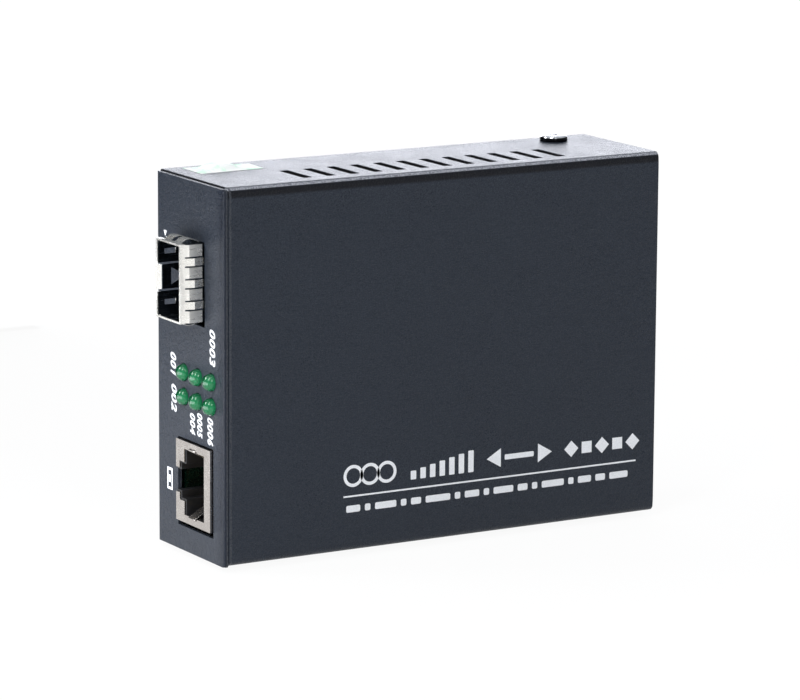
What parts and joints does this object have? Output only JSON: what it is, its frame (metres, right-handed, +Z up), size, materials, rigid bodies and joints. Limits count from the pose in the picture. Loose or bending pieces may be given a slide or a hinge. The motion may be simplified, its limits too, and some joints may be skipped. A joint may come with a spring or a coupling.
{
  "type": "fibre media converter",
  "caption": "Small upright metal case with an open transceiver bay, a network socket, round indicator lights and side vents, turning copper network signals into optical ones.",
  "frame": {"origin": "on the lowest level, under the middle of the unit's box", "axes": "-Y is the way the front panel faces, +X the way the cover's large face looks, +Z up with the unit on a narrow side"},
  "size_m": [0.0266, 0.0992, 0.073],
  "materials": {
    "case_paint": "fine-textured dark blue-grey powder coat",
    "screw_steel": "bright nickel-plated steel",
    "spring_steel": "tin-plated sheet, soft sheen",
    "shield_tin": "bright tin-plated sheet",
    "black_plastic": "moulded black plastic",
    "led_green": "tinted clear epoxy",
    "contact_gold": "gold-flashed",
    "lead_tin": "solder-tinned",
    "board_mask": "green solder mask",
    "chip_epoxy": "moulded epoxy",
    "can_aluminium": "drawn aluminium can",
    "ferrite": "pressed ferrite",
    "seal_paper": "thin white sticker",
    "resistor_ceramic": "glazed chip",
    "capacitor_ceramic": "tan ceramic chip"
  },
  "bodies": {
    "root": {"board_screws": "screw_steel", "board_standoffs": "screw_steel", "capacitor_1": "can_aluminium", "capacitor_2": "can_aluminium", "capacitor_3": "can_aluminium", "case_screws": "screw_steel", "chassis": "case_paint", "chip_capacitors": "capacitor_ceramic", "chip_resistors": "resistor_ceramic", "circuit_board": "board_mask", "converter_chip": "chip_epoxy", "converter_chip_leads": "lead_tin", "cover": "case_paint", "crystal": "can_aluminium", "inlet_body": "black_plastic", "inlet_contacts": "lead_tin", "inlet_pin": "screw_steel", "led_1": "led_green", "led_2": "led_green", "led_3": "led_green", "led_4": "led_green", "led_5": "led_green", "led_6": "led_green", "led_holder": "black_plastic", "led_leads": "lead_tin", "magnetics_leads": "lead_tin", "magnetics_module": "chip_epoxy", "memory_chip": "chip_epoxy", "memory_chip_leads": "lead_tin", "power_inductor": "ferrite", "regulator_leads": "lead_tin", "rj45_contacts": "contact_gold", "rj45_insert": "black_plastic", "rj45_shield": "shield_tin", "seal_label": "seal_paper", "sfp_cage": "spring_steel", "sfp_connector": "black_plastic", "sfp_contacts": "contact_gold", "sfp_gasket": "spring_steel", "voltage_regulator": "chip_epoxy"}
  },
  "joints": []
}
